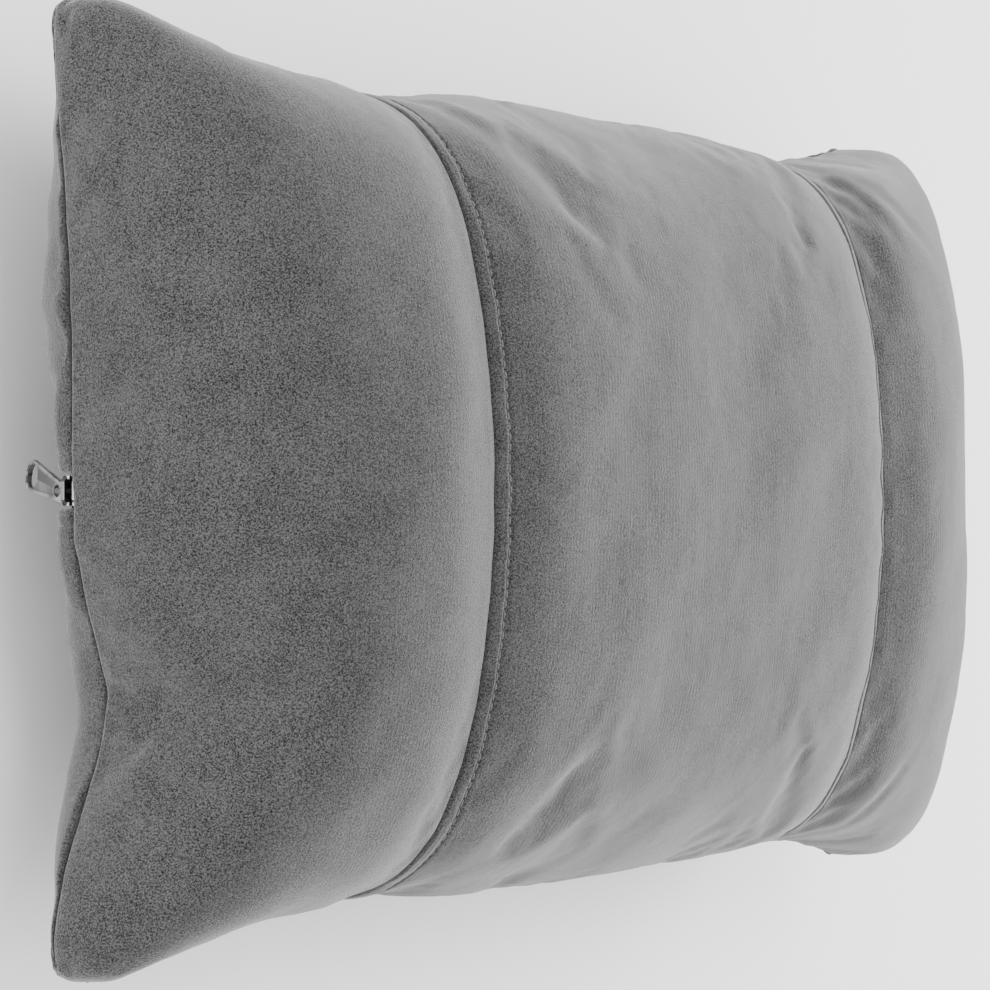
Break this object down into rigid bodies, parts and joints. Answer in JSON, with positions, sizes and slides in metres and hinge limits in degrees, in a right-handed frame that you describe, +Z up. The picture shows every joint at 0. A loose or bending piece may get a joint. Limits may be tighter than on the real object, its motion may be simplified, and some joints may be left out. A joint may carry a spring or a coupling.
{
  "type": "camp pillow",
  "caption": "Rectangular velour camp pillow: soft-eared cover with a three-panel front and a lengthwise back zip, round an inner casing full of fibre.",
  "frame": {"origin": "middle of the pillow's plan, on the ground that it lies on", "axes": "+X along the length, away from the end where the closed zip's slider is parked; +Y across the width; +Z up through the thickness, out of the three-panel sleeping face"},
  "size_m": [0.4661, 0.289, 0.1306],
  "materials": {
    "velour": "soft grey velour with a short nap that shines at a grazing angle",
    "sewing_thread": "spun polyester thread in the cloth's own grey",
    "zip_tape": "black woven tape",
    "zip_coil": "black nylon coil",
    "gunmetal": "dark nickel plating on die-cast zinc, worn a little brighter on its edges",
    "casing": "thin off-white plain-weave lining",
    "fibre": "loose white hollow fibre"
  },
  "bodies": {
    "pillow": {"front_left_panel": "velour", "front_centre_panel": "velour", "front_right_panel": "velour", "back_upper_panel": "velour", "back_lower_panel": "velour", "front_seam_thread_left": "sewing_thread", "front_seam_thread_right": "sewing_thread", "front_topstitch_left": "sewing_thread", "front_topstitch_right": "sewing_thread", "perimeter_seam_thread": "sewing_thread", "zip_tape_upper": "zip_tape", "zip_tape_lower": "zip_tape", "zip_coil_upper": "zip_coil", "zip_coil_lower": "zip_coil", "zip_topstitch_upper": "sewing_thread", "zip_topstitch_lower": "sewing_thread", "inner_casing_front": "casing", "inner_casing_back": "casing", "casing_seam_thread": "casing", "filling": "fibre"},
    "slider": {"slider_body": "gunmetal"},
    "pull": {"slider_pull": "gunmetal"}
  },
  "joints": [
    {"name": "slider_travel", "type": "hinge", "parent": "pillow", "child": "slider", "pos_m": [0, 0, 0.77579], "axis": [0, -1, 0], "range_deg": [0, 33]},
    {"name": "pull_swing", "type": "hinge", "parent": "slider", "child": "pull", "pos_m": [-0.21919, -0.00085, 0.03691], "axis": [0.0772, -0.9511, -0.2992], "range_deg": [-72, 29]}
  ]
}
